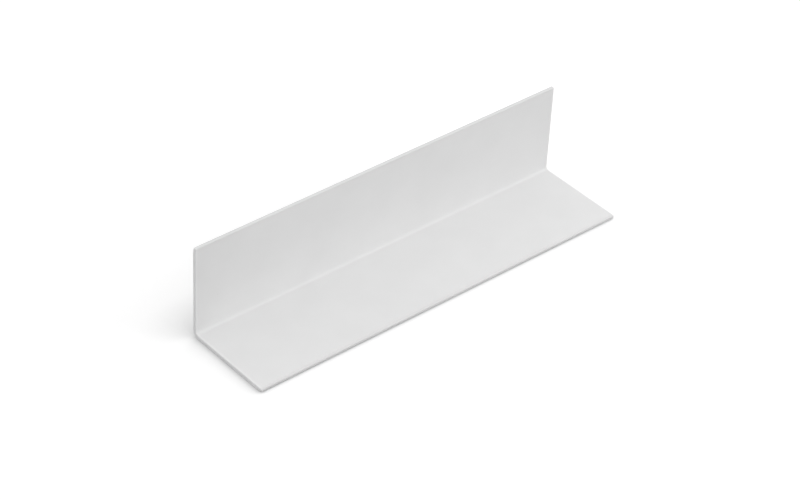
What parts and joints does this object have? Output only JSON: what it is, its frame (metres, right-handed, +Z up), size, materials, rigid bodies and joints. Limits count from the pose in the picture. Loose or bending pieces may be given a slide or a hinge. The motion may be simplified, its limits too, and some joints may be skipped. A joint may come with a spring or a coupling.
{
  "type": "corner guard moulding",
  "caption": "Short length of plain white plastic angle with equal legs, a rounded bend and thinned tips, glued over an outside wall corner to protect it.",
  "frame": {"origin": "on the floor, under the centre of the piece's box", "axes": "+X along the length of the moulding, +Y towards the standing leg, +Z up away from the lying leg"},
  "size_m": [0.163, 0.0382, 0.0381],
  "materials": {
    "white_pvc": "satin"
  },
  "bodies": {
    "root": {"corner_guard": "white_pvc"}
  },
  "joints": []
}
